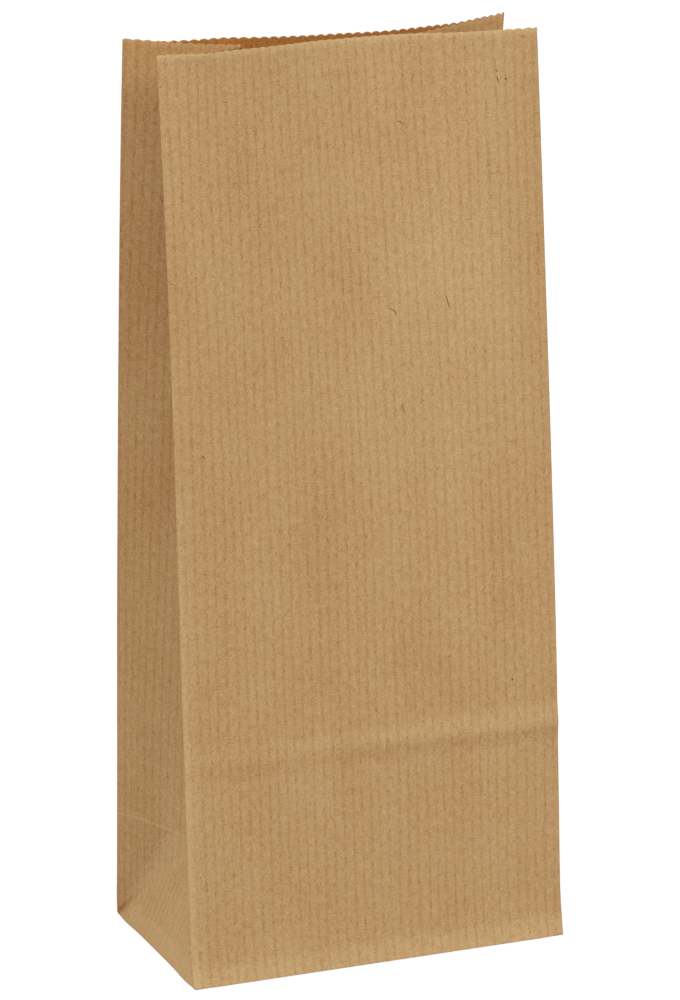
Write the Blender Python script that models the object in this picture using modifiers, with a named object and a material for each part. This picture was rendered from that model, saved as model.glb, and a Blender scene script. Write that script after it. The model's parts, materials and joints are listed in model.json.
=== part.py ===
"""Kraft paper bag with a block bottom, folded and glued from one ribbed sheet.

The sheet is wrapped into a tube with a glued lap up its back and a gusset in each side. Its lower
end is folded into a flat bottom with two trapezoid flaps, and its upper edge is cut with a
serrated knife. Every point of the walls is found from its place on the flat sheet: how far round
the tube it lies, and how far up from the bottom edge. The folded place follows from that.

Units are metres, +Z is up, and the origin is at the middle of the bottom, on the surface that the
bag stands on. The front panel faces -Y.
"""

import math

import bmesh
import bpy
import numpy as np

# Sizes of the flat sheet
WIDTH = 0.0915  # front and back panels, from fold to fold
DEPTH = 0.0525  # side panels, from fold to fold, and so the bottom
HEIGHT = 0.210  # from the bottom edge to the middle of the cut edge
PAPER = 0.00013  # thickness of the sheet over its ribs
LAP = 0.012  # width of the glued lap up the back panel
LAP_CENTRE = 0.0  # where the middle of the lap lies across the back
FLAP = 0.034  # bottom flaps, from the fold to the cut edge
FLAP_INSET = 0.0004  # the flat of a flap starts this far in from the fold

# How the opened bag stands
FRONT_SLOPE = 0.0117  # how far the front folds lean back over the height
FRONT_CURL = 0.006  # further lean of the front folds, which comes near the mouth
BACK_SLOPE = 0.0082  # how far the back folds lean forward over the height
BACK_CURL = 0.0048  # further lean of the back folds, close to the mouth
LIP = 0.002  # how far the foot of the front panel stands out
LIP_REACH = 0.005  # height over which the foot settles into the wall
FRONT_BOW = 0.005  # how far the middle of the front rim curves inward
BACK_BOW = 0.009  # how far the middle of the back rim curves inward
BOW_GROWTH = 1.6  # power with which the bows grow towards the mouth
BOW_SKEW = 0.15  # how much of the bows lies to the right of the middle
GUSSET_BIAS = 0.08  # share of the mouth by which the gusset creases lie nearer the front
GUSSET_BULGE = 0.0016  # how far each half of a gusset bulges between its creases

# The line that the edge of the flattened bottom pressed into the walls
PRESS_RIDGE = 0.0004  # how far its crest stands out
PRESS_DROP = 0.0014  # how far its crest lies below one bottom depth
PRESS_ABOVE = 0.0045  # height of the slope above the crest
PRESS_BELOW = 0.0040  # height of the slope below the crest

# The serrated cut
TOOTH_PITCH = 0.0022
TOOTH_HEIGHT = 0.0006
TOOTH_POINTS = 4  # points along each tooth
TOOTH_BAND = 0.0022  # plain strip below the middle of the cut, above the last whole row
FOLD_CLEAR = 0.0014  # no tooth point is nearer than this to a fold, where the paper turns back
POINT_CLEAR = 0.00012  # nor nearer than this to another column

# How finely the sheet is divided
PANEL_CELLS = 12
WALL_CELLS = 10
FOOT_SHARES = (0, 1 / 12, 1 / 6, 1 / 3, 1 / 2, 2 / 3, 5 / 6, 1)  # of half the depth
LAP_EDGE = 0.0001  # width over which a cut edge of the lap steps down

# The paper's look
KRAFT_BROWN = (0.48, 0.295, 0.134, 1.0)
ROUGHNESS = 0.75

HALF_DEPTH = DEPTH / 2
FLOOR_LEVEL = 2 * PAPER  # the floor lies on the two flaps
SAME_PLACE = 1e-7  # places nearer than this count as one


def press_ridge(up):
    """How far the pressed line stands out here: two straight slopes that meet in a crest."""
    crest = DEPTH - PRESS_DROP
    rise = (up - crest + PRESS_BELOW) / PRESS_BELOW
    fall = (crest + PRESS_ABOVE - up) / PRESS_ABOVE
    return PRESS_RIDGE * max(0.0, min(rise, fall))


def front_lean(up):
    """How far the front folds lie behind the foot: the lip, then a slope that steepens."""
    share = up / HEIGHT
    lip = LIP * (1 - math.exp(-up / LIP_REACH))
    return FRONT_SLOPE * share + FRONT_CURL * share**2 + lip


def back_lean(up):
    """How far the back folds lie before the foot."""
    share = up / HEIGHT
    return BACK_SLOPE * share + BACK_CURL * share**3


def bow_share(across, up):
    """Share of a rim's bow here: a parabola across the panel, none up to the pressed line."""
    place = 2 * across / WIDTH
    grown = max(0.0, (up - DEPTH) / (HEIGHT - DEPTH))
    return (1 - place**2) * (1 + BOW_SKEW * place) * grown**BOW_GROWTH


def raised(up, lean):
    """Height above the floor of paper that is this long and leans over by this much."""
    return FLOOR_LEVEL + math.sqrt(max(up**2 - lean**2, 0.0))


def front_point(across, up):
    """Place of a point of the front panel."""
    lean = front_lean(up) + FRONT_BOW * bow_share(across, up)
    return np.array([across, -HALF_DEPTH + lean - press_ridge(up), raised(up, lean)])


def lap_step(across):
    """How far the panel beyond the lap is tucked behind the sheet that covers it."""
    edge = LAP_CENTRE + LAP / 2
    if across <= edge + LAP_EDGE / 2:
        return 0.0
    return PAPER * (WIDTH / 2 - across) / (WIDTH / 2 - edge)


def back_point(across, up):
    """Place of a point of the back panel."""
    lean = back_lean(up) + BACK_BOW * bow_share(across, up)
    behind = HALF_DEPTH - lean + press_ridge(up) - lap_step(across)
    return np.array([across, behind, raised(up, lean)])


def crease_point(side, up):
    """Place on a gusset's middle crease, above the bottom triangle.

    The rear half of the gusset is taut, so its width and the gap that it spans give how deep the
    crease lies. The crease is as long as it is on the flat sheet, so its top comes out lower.
    """
    front = front_point(side * WIDTH / 2, up)
    back = back_point(side * WIDTH / 2, up)
    gap = back[1] - front[1]
    bias = GUSSET_BIAS * max(0.0, (up - HALF_DEPTH) / (HEIGHT - HALF_DEPTH))
    rear_gap = gap * (0.5 + bias)
    inset = math.sqrt(HALF_DEPTH**2 - rear_gap**2)
    level = FLOOR_LEVEL + math.sqrt(up**2 - inset**2)
    return np.array([side * (WIDTH / 2 - inset), back[1] - rear_gap, level])


def triangle_point(side, along, up):
    """Place of a point of the flat triangle at the foot of a gusset, which tips inward."""
    edge_middle = np.array([side * WIDTH / 2, 0.0, FLOOR_LEVEL])
    tipped = (crease_point(side, HALF_DEPTH) - edge_middle) * up / HALF_DEPTH
    return edge_middle + tipped + np.array([0.0, along - HALF_DEPTH, 0.0])


def gusset_point(side, along, up):
    """Place of a point of a side panel, this far along it from its front fold.

    Creases run up at 45 degrees from the bottom corners and meet on the middle crease at half the
    depth. The triangle lies between them and the bottom edge.
    """
    at_front = along <= HALF_DEPTH
    from_fold = along if at_front else DEPTH - along
    if from_fold >= up - SAME_PLACE:
        return triangle_point(side, along, up)
    fold = (front_point if at_front else back_point)(side * WIDTH / 2, up)
    if up < HALF_DEPTH:
        crease = triangle_point(side, up if at_front else DEPTH - up, up)
        return fold + from_fold / up * (crease - fold)
    share = from_fold / HALF_DEPTH
    bulge = GUSSET_BULGE * 4 * share * (1 - share) * (up - HALF_DEPTH) / (HEIGHT - HALF_DEPTH)
    towards_middle = bulge if at_front else -bulge
    point = fold + share * (crease_point(side, up) - fold)
    return point + np.array([0.0, towards_middle, 0.0])


def sheet_point(panel, along, up):
    """Place of a point of the sheet, named by its panel, its place along it and its height."""
    if panel == "front":
        return front_point(along - WIDTH / 2, up)
    if panel == "right":
        return gusset_point(1, along, up)
    if panel == "back":
        return back_point(WIDTH / 2 - along, up)
    return gusset_point(-1, DEPTH - along, up)


def panel_stations():
    """Places across a wide panel, left to right, with a close pair at each edge of the lap."""
    left = LAP_CENTRE - LAP / 2
    right = LAP_CENTRE + LAP / 2
    edges = np.array([left - LAP_EDGE, left, right, right + LAP_EDGE])
    plain = np.linspace(-WIDTH / 2, WIDTH / 2, PANEL_CELLS + 1)
    apart = np.abs(plain[:, None] - edges).min(axis=1) > WIDTH / PANEL_CELLS / 3
    return np.sort(np.concatenate([plain[apart], edges]))


def foot_stations():
    """Places from a fold to the middle of a side panel, which are also the lowest rows."""
    return HALF_DEPTH * np.array(FOOT_SHARES)


def ring_columns():
    """The columns round the tube, as (panel, place along it), seen from above anticlockwise."""
    wide = panel_stations() + WIDTH / 2
    half = foot_stations()
    side = np.concatenate([half, DEPTH - half[-2::-1]])
    columns = [("front", along) for along in wide[:-1]]
    columns += [("right", along) for along in side[:-1]]
    columns += [("back", along) for along in (WIDTH - wide[::-1])[:-1]]
    columns += [("left", along) for along in side[:-1]]
    return columns


def row_heights():
    """Heights of the whole rows up the sheet."""
    crest = DEPTH - PRESS_DROP
    press = [crest - PRESS_BELOW, crest, crest + PRESS_ABOVE]
    wall = np.linspace(crest + PRESS_ABOVE, HEIGHT - TOOTH_BAND, WALL_CELLS + 1)[1:]
    middle = (HALF_DEPTH + crest - PRESS_BELOW) / 2
    return np.concatenate([foot_stations(), [middle], press, wall])


def panel_start(panel):
    """How far round the tube a panel starts."""
    return {
        "front": 0.0,
        "right": WIDTH,
        "back": WIDTH + DEPTH,
        "left": 2 * WIDTH + DEPTH,
    }[panel]


def panel_length(panel):
    """Width of a panel."""
    return WIDTH if panel in ("front", "back") else DEPTH


def cut_height(around):
    """Height of the serrated cut here: a row of round scallops, a whole number round the bag."""
    girth = 2 * (WIDTH + DEPTH)
    teeth = round(girth / TOOTH_PITCH)
    wave = abs(math.sin(math.pi * around / girth * teeth))
    return HEIGHT + TOOTH_HEIGHT * (wave - 0.5)


def cut_stations(panel, start, end):
    """Places of the tooth points between two columns of a panel, clear of folds and columns."""
    girth = 2 * (WIDTH + DEPTH)
    spacing = girth / round(girth / TOOTH_PITCH) / TOOTH_POINTS
    offset = panel_start(panel)
    first = math.ceil((offset + start) / spacing)
    last = math.floor((offset + end) / spacing)
    places = [step * spacing - offset for step in range(first, last + 1)]
    length = panel_length(panel)
    return [
        place
        for place in places
        if start + POINT_CLEAR < place < end - POINT_CLEAR
        and FOLD_CLEAR < place < length - FOLD_CLEAR
    ]


def plies(panel, along):
    """Share of the double thickness that the wall has here: all of it on the glued lap."""
    across = WIDTH / 2 - along
    on_lap = panel == "back" and abs(across - LAP_CENTRE) <= (LAP + LAP_EDGE) / 2
    return 1.0 if on_lap else 0.5


def add_vertex(mesh, place, share):
    """Add a vertex with its share of the double thickness, in the mesh's one vertex group."""
    weights = mesh.verts.layers.deform.verify()
    vertex = mesh.verts.new(place)
    vertex[weights][0] = share
    return vertex


def add_sheet_vertex(mesh, panel, along, up):
    """Add the vertex of a place on the sheet."""
    return add_vertex(mesh, sheet_point(panel, along, up), plies(panel, along))


def column_ends(columns):
    """Where each column's cells end along its panel: at the next column, or at the fold."""
    following = columns[1:] + columns[:1]
    return [
        along if panel == own else panel_length(own)
        for (own, _), (panel, along) in zip(columns, following)
    ]


def add_cell(mesh, corners, panel, span, up):
    """Add one cell of the wall, split along the 45 degree crease where that crosses it."""
    low_start, low_end, high_end, high_start = corners
    start, end = span
    creased = panel in ("right", "left") and up < HALF_DEPTH
    if creased and math.isclose(start, up, abs_tol=SAME_PLACE):
        mesh.faces.new([low_start, low_end, high_end])
        mesh.faces.new([low_start, high_end, high_start])
    elif creased and math.isclose(DEPTH - end, up, abs_tol=SAME_PLACE):
        mesh.faces.new([low_start, low_end, high_start])
        mesh.faces.new([low_end, high_end, high_start])
    else:
        mesh.faces.new(corners)


def add_wall(mesh, columns, heights):
    """Add the whole rows of the walls. Returns the vertices as rows of rings."""
    rings = [
        [add_sheet_vertex(mesh, panel, along, up) for panel, along in columns]
        for up in heights
    ]
    ends = column_ends(columns)
    for up, lower, upper in zip(heights, rings, rings[1:]):
        for column, (panel, start) in enumerate(columns):
            after = (column + 1) % len(columns)
            corners = [lower[column], lower[after], upper[after], upper[column]]
            add_cell(mesh, corners, panel, (start, ends[column]), up)
    return rings


def add_cut_edge(mesh, columns, ring):
    """Add the strip above the last whole row, whose upper edge follows the serrated cut."""
    ends = column_ends(columns)
    edges = []
    for (panel, start), end in zip(columns, ends):
        places = [start, *cut_stations(panel, start, end)]
        heights = [cut_height(panel_start(panel) + place) for place in places]
        edges.append([add_sheet_vertex(mesh, panel, *spot) for spot in zip(places, heights)])
    for column, edge in enumerate(edges):
        after = (column + 1) % len(columns)
        add_fan(mesh, ring[column], ring[after], [*edge, edges[after][0]])


def add_fan(mesh, low_start, low_end, edge):
    """Fill between one edge of a row and the cut above it, with a fan from each lower corner."""
    middle = len(edge) // 2
    for left, right in zip(edge[:middle], edge[1 : middle + 1]):
        mesh.faces.new([low_start, right, left])
    mesh.faces.new([low_start, low_end, edge[middle]])
    for left, right in zip(edge[middle:], edge[middle + 1 :]):
        mesh.faces.new([low_end, right, left])


def add_floor(mesh, ring):
    """Add the flat floor inside the lowest ring, as a grid that shares the ring's vertices."""
    wide = len(panel_stations()) - 1
    deep = 2 * (len(FOOT_SHARES) - 1)
    grid = np.empty((deep + 1, wide + 1), object)
    grid[0, :] = ring[: wide + 1]
    grid[:, wide] = ring[wide : wide + deep + 1]
    grid[deep, ::-1] = ring[wide + deep : 2 * wide + deep + 1]
    grid[::-1, 0] = [*ring[2 * wide + deep :], ring[0]]
    for row in range(1, deep):
        for column in range(1, wide):
            across = grid[0, column].co.x
            along = grid[row, 0].co.y
            grid[row, column] = add_vertex(mesh, (across, along, FLOOR_LEVEL), 0.5)
    for row in range(deep):
        for column in range(wide):
            near = [grid[row, column], grid[row + 1, column]]
            far = [grid[row + 1, column + 1], grid[row, column + 1]]
            mesh.faces.new(near + far)


def paper_material():
    """Brown kraft paper, which is matt."""
    material = bpy.data.materials.new("kraft_paper")
    material.use_nodes = True
    shader = material.node_tree.nodes["Principled BSDF"]
    shader.inputs["Base Color"].default_value = KRAFT_BROWN
    shader.inputs["Roughness"].default_value = ROUGHNESS
    return material


def paper_bag(collection):
    """The folded sheet: its outer face is modelled, and Solidify gives it the paper's thickness."""
    columns = ring_columns()
    mesh = bmesh.new()
    rings = add_wall(mesh, columns, row_heights())
    add_floor(mesh, rings[0])
    add_cut_edge(mesh, columns, rings[-1])
    data = bpy.data.meshes.new("paper_bag")
    mesh.to_mesh(data)
    mesh.free()
    bag = bpy.data.objects.new("paper_bag", data)
    collection.objects.link(bag)
    bag.data.materials.append(paper_material())
    group = bag.vertex_groups.new(name="plies")
    shell = bag.modifiers.new("paper", "SOLIDIFY")
    shell.thickness = 2 * PAPER
    shell.offset = -1
    shell.use_even_offset = True
    shell.vertex_group = group.name
    return bag


def flap_plate(name, facing, low, high, helpers):
    """A bottom flap: a trapezoid whose ends are folded at 45 degrees, between two levels.

    facing is -1 for the flap that hangs on the front panel and 1 for the one on the back.
    """
    outline = []
    for inward, side in ((FLAP_INSET, -1), (FLAP_INSET, 1), (FLAP, 1), (FLAP, -1)):
        across = side * (WIDTH / 2 - inward)
        outline.append((across, facing * (HALF_DEPTH - inward), 0))
    curve = bpy.data.curves.new(name, "CURVE")
    curve.dimensions = "2D"
    curve.fill_mode = "BOTH"
    curve.extrude = (high - low) / 2
    spline = curve.splines.new("POLY")
    spline.points.add(len(outline) - 1)
    for point, place in zip(spline.points, outline):
        point.co = (*place, 1)
    spline.use_cyclic_u = True
    drawn = bpy.data.objects.new(name + "_outline", curve)
    drawn.location.z = (low + high) / 2
    helpers.objects.link(drawn)
    bpy.context.view_layer.update()
    graph = bpy.context.evaluated_depsgraph_get()
    data = bpy.data.meshes.new_from_object(drawn.evaluated_get(graph))
    welded = bmesh.new()
    welded.from_mesh(data)
    bmesh.ops.remove_doubles(welded, verts=welded.verts, dist=SAME_PLACE)
    bmesh.ops.recalc_face_normals(welded, faces=welded.faces)
    welded.to_mesh(data)
    welded.free()
    plate = bpy.data.objects.new(name, data)
    plate.matrix_world = drawn.matrix_world.copy()
    bpy.data.objects.remove(drawn)
    helpers.objects.link(plate)
    plate.hide_render = True
    plate.display_type = "WIRE"
    return plate


def glue_on(bag, plate):
    """Fuse a flap with the bag, as glue does."""
    union = bag.modifiers.new(plate.name, "BOOLEAN")
    union.operation = "UNION"
    union.solver = "EXACT"
    union.object = plate


def main():
    """Clear the scene and model the bag."""
    for thing in list(bpy.data.objects):
        bpy.data.objects.remove(thing)
    scene = bpy.context.scene
    collection = bpy.data.collections.new("kraft_paper_bag")
    helpers = bpy.data.collections.new("bottom_flaps")
    scene.collection.children.link(collection)
    scene.collection.children.link(helpers)
    bag = paper_bag(collection)
    # The flaps end inside the floor's thickness, each at a level of its own, as two faces in one
    # plane would leave the union unclear.
    inner_top = FLOOR_LEVEL + PAPER / 2
    outer_top = FLOOR_LEVEL + PAPER * 5 / 8
    inner_flap = flap_plate("inner_flap", -1, PAPER, inner_top, helpers)
    outer_flap = flap_plate("outer_flap", 1, 0.0, outer_top, helpers)
    glue_on(bag, inner_flap)
    glue_on(bag, outer_flap)


main()
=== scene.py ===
"""Dresses the kraft paper bag: one folded sheet with ribs, fibres, worn creases, painted light and
shade, and a serrated rim.

Every point of the paper is found from its place on the flat sheet, in metres: `around` is how far
round the tube it lies, from the front left fold anticlockwise as seen from above, and `up` is how
far it lies from the bottom edge. Ribs, creases and the cut are drawn in the same two numbers, so
they follow the paper through each fold.
"""

import json
import logging
import math
from dataclasses import dataclass, replace
from enum import Enum

import bpy
import numpy as np
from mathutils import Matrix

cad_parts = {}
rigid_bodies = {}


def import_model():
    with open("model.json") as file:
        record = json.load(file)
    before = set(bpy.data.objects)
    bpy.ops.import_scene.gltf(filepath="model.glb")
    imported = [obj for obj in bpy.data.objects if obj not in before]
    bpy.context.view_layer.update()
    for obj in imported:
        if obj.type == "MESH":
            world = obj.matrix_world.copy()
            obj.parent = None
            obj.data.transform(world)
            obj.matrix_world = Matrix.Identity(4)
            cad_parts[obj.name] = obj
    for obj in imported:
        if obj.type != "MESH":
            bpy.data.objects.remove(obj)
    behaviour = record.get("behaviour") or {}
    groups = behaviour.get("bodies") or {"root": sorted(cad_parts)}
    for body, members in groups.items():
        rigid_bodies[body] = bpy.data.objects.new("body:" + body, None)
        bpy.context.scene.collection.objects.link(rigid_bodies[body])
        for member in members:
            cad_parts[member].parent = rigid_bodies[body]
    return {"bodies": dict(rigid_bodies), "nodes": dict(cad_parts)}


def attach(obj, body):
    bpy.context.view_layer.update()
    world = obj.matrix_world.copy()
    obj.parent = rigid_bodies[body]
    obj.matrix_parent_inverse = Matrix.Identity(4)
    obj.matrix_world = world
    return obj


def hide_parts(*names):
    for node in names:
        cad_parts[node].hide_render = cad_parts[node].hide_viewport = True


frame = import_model()

LOG = logging.getLogger("kraft_paper_bag")
Array = np.ndarray
Amount = float | Array
Pair = tuple[float, float]
Triple = tuple[float, float, float]
Row = tuple[float, ...]
Colour = tuple[float, float, float, float]
Node = bpy.types.Node
Socket = bpy.types.NodeSocket
Feed = float | Row | Socket

BODY = "root"
CAD_NODE = "paper_bag"
SHEET_MAP = "sheet_place"
# The attribute of wear with painted light and painted shade on the paper.
WEAR_AND_PAINTED_LIGHT = "wear_and_painted_light"
# The attribute of painted light, by which a face's glow colour scales its colour.
PAINTED_GLOW = "glow"
MM = 0.001
KRAFT: Colour = (0.480, 0.295, 0.134, 1.0)


class Side(Enum):
    """The two gussets, each with its sign along X."""

    LEFT = -1
    RIGHT = 1


class Wall(Enum):
    """The two wide panels, each with its sign along Y."""

    FRONT = -1
    BACK = 1


def bell(value: Array, centre: float, reach: Amount, power: float = 2.0) -> Array:
    """A hump of height 1: e to the minus power of the distance from the centre over the reach.

    Args:
        value: Where it is asked for.
        centre: Where the hump is highest.
        reach: The distance at which it has fallen to about a third.
        power: 2 for a bell, more for a flat top with steep sides.

    Returns:
        The height of the hump at each value.
    """
    return np.exp(-(np.abs((value - centre) / reach) ** power))


def smooth_step(value: Array, low: Amount, high: Amount) -> Array:
    """0 at low, 1 at high and beyond, and 3 t squared less 2 t cubed between them."""
    share = np.clip((value - low) / (high - low), 0.0, 1.0)
    return share * share * (3.0 - 2.0 * share)


def crowded(length: float, count: int, crowding: float) -> Array:
    """Places from 0 to length that lie closer together towards both ends.

    Args:
        length: The last place.
        count: How many cells there are.
        crowding: 0 for even cells. Towards 1 the end cells shrink to nothing.

    Returns:
        The places: the even share less crowding times the sine of a whole turn of it.
    """
    share = np.linspace(0.0, 1.0, count + 1)
    return length * (share - crowding * np.sin(2.0 * np.pi * share) / (2.0 * np.pi))


def mixed(first: Amount, last: Amount, share: Array) -> Array:
    """The first value at share 0, the last at share 1, straight between them."""
    return first + share * (last - first)


def add_object(name: str, data: bpy.types.ID) -> bpy.types.Object:
    """Put a mesh, lamp or camera into the scene as an object at the origin."""
    made = bpy.data.objects.new(name, data)
    bpy.context.scene.collection.objects.link(made)
    return made


@dataclass(frozen=True)
class Hump:
    """A hump along one measure: where it is highest, its reach, its height and its power."""

    centre: float
    reach: float
    height: float = 1.0
    power: float = 2.0

    def at(self, value: Array) -> Array:
        """Its height at each value."""
        return self.height * bell(value, self.centre, self.reach, self.power)


@dataclass(frozen=True)
class Step:
    """A smooth step along one measure, from 0 at its start to 1 at its end, up or down."""

    start: float
    end: float

    def at(self, value: Array) -> Array:
        """Its height at each value."""
        return smooth_step(value, self.start, self.end)


@dataclass(frozen=True)
class SheetSizes:
    """Sizes of the flat sheet, as the solid part has them."""

    width: float = 0.0915
    depth: float = 0.0525
    height: float = 0.210
    paper: float = 0.00013
    lap: float = 0.012
    flap: float = 0.034
    tooth_pitch: float = 0.0022
    tooth_height: float = 0.00040
    lap_step: float = 0.00006

    @property
    def half_width(self) -> float:
        """From the middle of a wide panel to its folds."""
        return self.width / 2.0

    @property
    def half_depth(self) -> float:
        """Width of half a gusset."""
        return self.depth / 2.0

    @property
    def half_girth(self) -> float:
        """Width of a wide panel and a gusset, after which the folds repeat."""
        return self.width + self.depth

    @property
    def girth(self) -> float:
        """Length once round the tube."""
        return 2.0 * self.half_girth

    @property
    def starts(self) -> Array:
        """Where the four panels start round the tube: front, right, back and left."""
        return np.cumsum([0.0, self.width, self.depth, self.width])

    @property
    def teeth(self) -> int:
        """How many teeth the cut has round the tube."""
        return round(self.girth / self.tooth_pitch)

    @property
    def lap_edge(self) -> float:
        """Where the lap's free edge lies round the tube."""
        return self.half_girth + (self.width - self.lap) / 2.0

    @property
    def floor_level(self) -> float:
        """Height of the outer face of the floor, which lies on two flaps."""
        return 2.0 * self.paper


@dataclass(frozen=True)
class StandingForm:
    """How the opened bag stands: what its folds and panels do between the foot and the mouth.

    Lengths are in metres. A share or a power has no unit.
    """

    front_left_lean: Row = (0.0164, -0.01137, 0.0117, 0.0)
    front_right_lean: Row = (0.00834, 0.01787, -0.00768, 0.00045)
    back_left_lean: Row = (0.00875, 0.0, 0.00258, 0.0006)
    back_right_lean: Row = (0.00875, 0.0, 0.00258, 0.0021)
    lip: float = 0.002
    lip_reach: float = 0.005
    bow_growth: float = 1.6
    front_bows: tuple[Hump, Hump] = (
        Hump(0.010, 0.024, 0.0056, 3.0),
        Hump(0.010, 0.018, 0.0056, 4.0),
    )
    front_ripples: tuple[Hump, ...] = (Hump(0.036, 0.006, 0.0010), Hump(-0.036, 0.005, -0.0020))
    back_bow: float = 0.0092
    back_ripples: tuple[Hump, ...] = (Hump(-0.0405, 0.004, 0.0010), Hump(-0.0245, 0.006, -0.0012))
    gusset_bias: float = 0.17
    crease_reach: Pair = (0.0016, 0.0045)
    rear_bulge: float = 0.0017
    front_bulge: float = 0.0010
    press_ridge: float = 0.0004
    press_drop: float = 0.0014
    press_above: float = 0.0045
    press_below: float = 0.0040
    press_least: float = 0.30
    press_grows: Step = Step(-0.030, 0.030)
    fold_turn: float = 0.30 * MM
    fold_side: Hump = Hump(0.0, 0.004, 1.0, 4.0)
    low_turn: float = 0.30 * MM
    low_starts: Step = Step(0.002, 0.012)
    low_ends: Step = Step(0.035, 0.075)
    foot_turn: Hump = Hump(0.0, 0.003, 0.50 * MM)
    crease_turn: Pair = (0.75 * MM, 2.75 * MM)
    crease_share: float = 0.60
    drift_height: float = 0.10 * MM
    drift_share: float = 0.42
    drift_grows: Step = Step(0.02, 0.14)
    drift_waves: tuple[Row, ...] = (
        (1.0, 61.0, 17.0, 0.4),
        (0.7, 107.0, -23.0, 2.1),
        (0.5, 35.0, 52.0, 4.2),
    )


@dataclass(frozen=True)
class CutEdge:
    """The serrated cut: its line, and how its teeth differ.

    The line is given by pairs of a place round the tube and how far above the sheet's height it
    runs there.
    """

    line: tuple[Pair, ...] = (
        (0.0000, 0.00052), (0.0120, 0.00036), (0.0300, 0.00058), (0.0400, 0.00066),
        (0.0457, 0.00060), (0.0620, 0.00058), (0.0710, 0.00028), (0.0800, 0.00028),
        (0.0915, 0.00012), (0.11775, 0.00030), (0.1250, 0.00048), (0.1310, 0.00030),
        (0.1370, 0.00010), (0.1440, -0.00002), (0.1520, 0.00028), (0.1580, 0.00012),
        (0.1650, 0.00026), (0.1767, 0.00010), (0.1897, 0.00042), (0.2045, 0.00068),
        (0.2180, 0.00029), (0.2290, -0.00010), (0.2355, 0.00004), (0.2400, 0.00022),
        (0.2530, 0.00016), (0.26175, 0.00038), (0.2750, 0.00032), (0.2880, 0.00052),
    )
    middle: float = 0.6
    uneven: float = 0.18
    shuffle: float = 12.9
    front_loss: float = 0.45
    front_starts: Step = Step(0.046, 0.043)
    torn: float = 0.02 * MM
    torn_waves: tuple[Pair, ...] = ((431.0, 0.0), (697.0, 1.3), (1013.0, 2.9))


@dataclass(frozen=True)
class MarksAndPaintedLight:
    """What pressing and folding left, the seam and frayed rim, and painted light and shade: places
    and reaches in metres, and strengths.

    A pair of widths or strengths goes from the start of a stretch to its end.
    """

    # What the flattened bottom pressed, with a painted highlight along its ridge and painted shade
    # under it.
    band_level: float = 0.0530
    band_width: Pair = (1.3 * MM, 3.0 * MM)
    band: Pair = (0.42, 0.94)
    under_band: Hump = Hump(0.0492, 1.2 * MM, -0.45)
    under_share: Pair = (0.4, 1.0)
    broken_line: Hump = Hump(0.0461, 0.35 * MM, 0.45)
    broken_waves: float = 9.0
    below_band: Step = Step(0.048, 0.044)
    below: float = 0.2
    side_band: float = 0.25
    foot_ends: Step = Step(0.0062, 0.0035)
    foot: Pair = (0.75, 1.20)
    half_line: Hump = Hump(0.0, 0.21 * MM)
    half_sag: Pair = (0.95 * MM, -1.10 * MM)
    sag_reach: float = 8.0 * MM
    half_front: float = 0.15
    half_right: float = 0.6
    half_side: float = 1.9
    right_end: Step = Step(0.76, 0.92)

    # What the folds left, and painted light and shade at the feet of the gussets.
    # The triangle and the fan above it are painted light where the paper faces up.
    triangle: Step = Step(-0.3 * MM, 2.5 * MM)
    painted_triangle_light: Pair = (0.80, 1.65)
    painted_light_grows: Step = Step(0.0125, 0.0445)
    fan_slope: float = 1.6
    fan_edge: Step = Step(-3.0 * MM, 6.0 * MM)
    fan_line: Step = Step(0.0260, 0.0278)
    fan_under: float = 2.1
    fan_over: float = 1.1
    fan_fades: Step = Step(0.060, 0.030)
    over_starts: Step = Step(0.010, 0.020)
    fan_front: Step = Step(0.028, 0.040)
    fan_loss: float = 0.6
    corner_reach: float = 4.0 * MM
    # Painted shade: the dark valley and the small shadow in each rear corner.
    valley_shade: Hump = Hump(0.0, 1.0 * MM, -7.5)
    shadow: tuple[Hump, Hump] = (Hump(0.0018, 0.0034, -1.8), Hump(0.0026, 0.0026))
    fold_fades: Step = Step(0.15, 0.06)
    # Worn fibres and a painted highlight along the front left fold.
    fold_line: Hump = Hump(0.0, 1.2 * MM, 0.5)
    front_fold: Hump = Hump(1.2 * MM, 1.6 * MM, 1.0, 3.0)

    # A painted sheen on the front, painted shade on the gussets, the seam, how the rim frayed, and
    # painted light that comes through the paper.
    # A paler patch of painted sheen on the front.
    patch: tuple[Hump, Hump] = (Hump(0.0690, 0.018, 0.80), Hump(0.145, 0.045))
    # Painted shade on the gussets' upper part, paler again just under the cut.
    side_shade: float = -0.75
    side_shade_grows: Step = Step(0.07, 0.16)
    side_shade_ends: Step = Step(0.194, 0.209)
    side_shade_turn: float = 1.9
    seam: float = -3.5
    seam_reach: float = 0.06 * MM
    frayed: float = 1.3
    frayed_wide: Step = Step(1.9 * MM, 0.5 * MM)
    frayed_narrow: Step = Step(0.7 * MM, 0.1 * MM)
    frayed_gusset: float = 0.6
    # Painted light that seems to come through the paper, and from the mouth.
    painted_light_at_cut: Pair = (0.5, 0.3)
    painted_light_start: float = 0.1 * MM
    painted_light_end: Pair = (0.6 * MM, 5.6 * MM)
    painted_mouth_light: Step = Step(0.197, 0.206)
    tip: Step = Step(0.50 * MM, 0.10 * MM)
    back_tip: float = 3.0
    other_tip: float = 3.2
    other_shade: float = -1.6


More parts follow.
